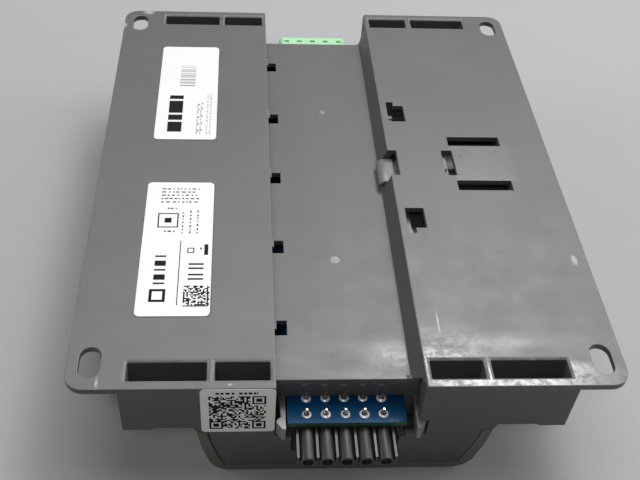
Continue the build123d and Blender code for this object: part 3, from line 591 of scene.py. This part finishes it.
def print_upper_label():
    """Black blocks, small bars, stripes and faint dashes; nothing on it can be read."""
    draw = random.Random(11)
    bold = Print("rating_label_upper", ON_MOUNTING_SIDE)
    for v0, v1 in ((4.0, 9.2), (10.2, 13.0), (14.0, 20.6), (21.6, 23.6)):
        bold.bar(4.0, 8.6, v0, v1)
    for v in (4.2, 7.8, 11.5, 15.6, 18.4):
        bold.bar(13.6, 14.1, v, v + 0.6)
        bold.bar(14.9, 15.2, v + 0.4, v + 1.3)
    bold.done("print_upper_bold", BLACK)
    faint = Print("rating_label_upper", ON_MOUNTING_SIDE)
    here = 29.0
    while here < 41.0:
        thick = draw.choice((0.25, 0.3, 0.5, 0.75))
        faint.bar(7.0, 12.2, here, here + thick)
        here += thick + draw.choice((0.35, 0.5, 0.8))
    for u in (13.3, 14.4, 16.6, 17.6):
        faint.dashes(draw, u, u + 0.45, 3.0, draw.uniform(18.0, 30.0), 0.7, 0.7)
    faint.done("print_upper_faint", GREY_INK)


def print_lower_label():
    """Rule, frames, block pattern, bars and rows of dashes; nothing on it can be read."""
    draw = random.Random(23)
    bold = Print("rating_label_lower", ON_MOUNTING_SIDE)
    bold.bar(10.9, 11.15, 3.8, 28.0)
    bold.frame(3.4, 7.8, 5.0, 9.6, 0.8)
    for v, length in ((11.4, 0.6), (13.0, 2.0), (16.4, 0.6), (18.2, 2.0), (21.6, 0.6)):
        bold.bar(4.2, 7.3, v, v + length)
    bold.frame(3.9, 9.9, 33.4, 39.4, 0.38)
    bold.bar(5.9, 7.9, 35.4, 37.4)
    bold.matrix(draw, 12.6, 3.8, 0.44, 16)
    bold.bar(12.6, 19.2, 3.4, 3.75)
    bold.bar(19.0, 19.35, 3.4, 10.8)
    for v in (13.0, 14.6, 17.0, 18.6):
        bold.bar(13.6, 17.8, v, v + 0.6)
    bold.bar(17.8, 18.9, 22.4, 26.6)
    bold.frame(13.0, 15.0, 23.2, 25.2, 0.3)
    bold.bar(16.6, 17.1, 24.6, 25.3)
    bold.done("print_lower_bold", BLACK)
    faint = Print("rating_label_lower", ON_MOUNTING_SIDE)
    for v in (44.0, 45.5, 47.0, 48.4, 49.8):
        faint.dashes(draw, 4.4, draw.uniform(14.0, 16.5), v, v + 0.45, 0.8, 0.55)
    for u in (11.0, 13.2, 15.3):
        faint.dashes(draw, u, u + 0.4, 31.0, draw.uniform(36.0, 42.0), 0.6, 0.7)
    faint.dashes(draw, 6.0, 9.5, 31.6, 32.1, 0.7, 0.5)
    faint.dashes(draw, 6.5, 9.2, 41.2, 41.7, 0.7, 0.5)
    faint.done("print_lower_faint", BLACK)


def print_end_label():
    """Random block pattern with three nested squares and a row of dashes."""
    draw = random.Random(5)
    left = 2.1
    bottom = 1.4
    cell = 0.5
    count = 29
    far = count - SQUARE_CELLS
    label = Print("end_label", ON_NEAR_END)
    blank = ((-1, -1), (far - 1, -1), (far - 1, far - 1))
    label.matrix(draw, left, bottom, cell, count, blank)
    for column, row in ((0, 0), (far, 0), (far, far)):
        label.nested_square(left + column * cell, bottom + row * cell, cell)
    label.dashes(draw, 4.0, 8.6, 16.7, 17.5, 0.8, 0.3)
    label.dashes(draw, 9.8, 14.6, 16.7, 17.5, 0.8, 0.3)
    label.done("print_end", BLACK)


print_upper_label()
print_lower_label()
print_end_label()


# ---- bus end detail ----------------------------------------------------------------------
PITCH = 5.08 * MM
BUS_CENTRE = -0.00045                   # x of the middle contact
WAY_X = [BUS_CENTRE + (i - 2) * PITCH for i in range(5)]
TAIL_ROWS = (-0.08415, -0.07907)        # y of the two rows of soldered tails
RECESS_BACK = -0.0785                   # y of the recess's back wall
BOARD_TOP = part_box("main_board")[1][2]


def solder_profile(base, rise):
    """(radius, z) points from the foot up a hollow curve, over the rim and down beside the tail."""
    foot = 0.05 * MM
    rim = 0.55 * MM
    steps = 7
    profile = [(base, 0.0), (base, foot)]
    for i in range(1, steps + 1):
        share = i / steps
        profile.append((rim + (base - rim) * (1 - share) ** 1.5, foot + rise * share))
    profile.append((0.50 * MM, foot + rise * 1.02))
    profile.append((0.44 * MM, 0.02 * MM))
    profile.append((0.20 * MM, 0.01 * MM))
    return profile


def solder_joints():
    """A cone of solder round each soldered tail, no two quite alike, coloured near white as a painted
    highlight, with a dark ring of painted shade round the tail.
    """
    draw = random.Random(3)
    mesh = bmesh.new()
    for y in TAIL_ROWS:
        for x in WAY_X:
            base = draw.uniform(1.22, 1.40) * MM
            rise = draw.uniform(0.62, 0.80) * MM
            profile = solder_profile(base, rise)
            lean = (draw.uniform(-0.08, 0.08) * MM, draw.uniform(-0.08, 0.08) * MM)
            lathe(mesh, profile, (x + lean[0], y + lean[1], BOARD_TOP), 24)
    data = finish_mesh(mesh, "solder_joints")
    for face in data.polygons:
        face.use_smooth = True
    solder = Surface("solder_look", roughness=0.30, Metallic=0.25)
    # Painted highlight: mostly diffuse near-white, so the solder looks bright even in shade.
    painted_highlight_white = solder.mix(solder.rise(solder.noise(1400.0, 3.0), 0.35, 0.7), colour(0.88), colour(0.98))
    # Painted shade: a dark ring round the tail above a set height.
    painted_shade_collar = solder.rise(solder.axis("Z"), BOARD_TOP + 0.36 * MM, BOARD_TOP + 0.48 * MM)
    solder.set("Base Color", solder.mix(painted_shade_collar, painted_highlight_white, colour(0.06)))
    solder.set("Normal", solder.bump(solder.noise(1100.0, 3.0), 0.35, 0.00012))
    piece_from(data, "solder_joints", "module", solder.material)


def recess_ribs():
    """Five small raised marks on the recess's back wall, painted lighter than the housing as painted light
    where they lie in shade.
    """
    mesh = bmesh.new()
    for x in WAY_X:
        centre = x - 0.5 * MM
        low = (centre - 0.75 * MM, RECESS_BACK - 0.18 * MM, 0.0276)
        high = (centre + 0.75 * MM, RECESS_BACK + 0.1 * MM, 0.0281)
        add_box(mesh, low, high)
    # Painted light: a lighter grey than the housing stands in for light on the ribs.
    look = moulded("recess_rib_painted_light_look", colour(0.20), colour(0.26), 0.45)
    piece_from(finish_mesh(mesh, "recess_ribs"), "recess_ribs", "module", look)


def gate_marks():
    """Snapped-off moulding gates on the channel floor."""
    draw = random.Random(9)
    mesh = bmesh.new()
    profile = ((1.0, -0.05), (0.95, 0.03), (0.6, 0.10), (0.40, 0.26), (0.2, 0.28))
    for x, y, size in ((0.0, 0.0341, 1.0), (-0.0004, -0.0367, 1.45)):
        scaled = [(radius * size * MM, z * MM) for radius, z in profile]
        lathe(mesh, scaled, (x, y, CHANNEL_FLOOR), 18)
    for vert in mesh.verts:
        vert.co.x += draw.uniform(-0.16, 0.16) * MM
        vert.co.y += draw.uniform(-0.12, 0.12) * MM
    look = moulded("gate_look", colour(0.14), colour(0.34), 0.5, 0.4)
    piece_from(finish_mesh(mesh, "gate_marks"), "gate_marks", "module", look)


def dial_scales():
    """Ten printed ticks round each address dial, the first one longer."""
    mesh = bmesh.new()
    ticks = 10
    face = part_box("front_cover")[0][2]
    for node in ("address_dial_tens", "address_dial_ones"):
        low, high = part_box(node)
        centre = [(a + b) / 2 for a, b in zip(low, high)]
        for i in range(ticks):
            angle = 2 * math.pi * i / ticks
            start = 4.3 * MM
            end = (5.9 if i == 0 else 5.2) * MM
            turn = Matrix.Translation((centre[0], centre[1], face)) @ Matrix.Rotation(angle, 4, "Z")
            size = Matrix.Diagonal((0.35 * MM, end - start, 2 * INK_THICKNESS, 1.0))
            place = Matrix.Translation((0, -(start + end) / 2, 0))
            bmesh.ops.create_cube(mesh, size=1.0, matrix=turn @ place @ size)
    look = ink("scale_ink_look", colour(0.62), colour(0.50))
    piece_from(finish_mesh(mesh, "dial_scales"), "dial_scales", "module", look)


solder_joints()
recess_ribs()
gate_marks()
dial_scales()


# ---- floor and light ---------------------------------------------------------------------
def make_floor():
    """Pale matt tabletop."""
    bpy.ops.mesh.primitive_plane_add(size=6.0, location=(0, 0, -0.0002))
    floor = bpy.context.object
    floor.name = "floor"
    skin = Surface("floor_look", roughness=0.85)
    clouds = skin.noise(3.0, 3.0)
    skin.set("Base Color", skin.mix(clouds, colour(0.31, 0.315, 0.32), colour(0.34, 0.345, 0.35)))
    floor.data.materials.append(skin.material)


def area_light(name, place, target, size, power):
    """A soft light of a given width and height, aimed at a point."""
    data = bpy.data.lights.new(name, "AREA")
    data.shape = "RECTANGLE"
    data.size, data.size_y = size
    data.energy = power
    light = bpy.data.objects.new(name, data)
    light.location = place
    light.rotation_euler = (Vector(target) - Vector(place)).to_track_quat("-Z", "Y").to_euler()
    bpy.context.scene.collection.objects.link(light)


def make_lights():
    """A broad light overhead, a smaller one behind for the glossy spots, two fills and a near sparkle."""
    area_light("overhead", (0.20, 0.38, 1.10), (0, 0, 0), (1.5, 0.7), 14.0)
    area_light("glancing", (0.29, 0.52, 0.82), (0.03, -0.07, 0.03), (0.28, 0.22), 3.9)
    area_light("left_fill", (-0.95, 0.10, 0.50), (0, 0, 0.03), (0.5, 0.5), 2.8)
    area_light("right_fill", (0.95, 0.10, 0.50), (0, 0, 0.03), (0.5, 0.5), 4.0)
    area_light("sparkle", (-0.07, -0.36, 0.44), (0, -0.08, 0.02), (0.10, 0.10), 0.40)
    world = bpy.data.worlds.new("studio")
    world.use_nodes = True
    world.node_tree.nodes["Background"].inputs[0].default_value = colour(0.80, 0.84, 0.88)
    world.node_tree.nodes["Background"].inputs[1].default_value = 0.07
    bpy.context.scene.world = world
    bpy.context.scene.view_settings.view_transform = "Standard"


make_floor()
make_lights()
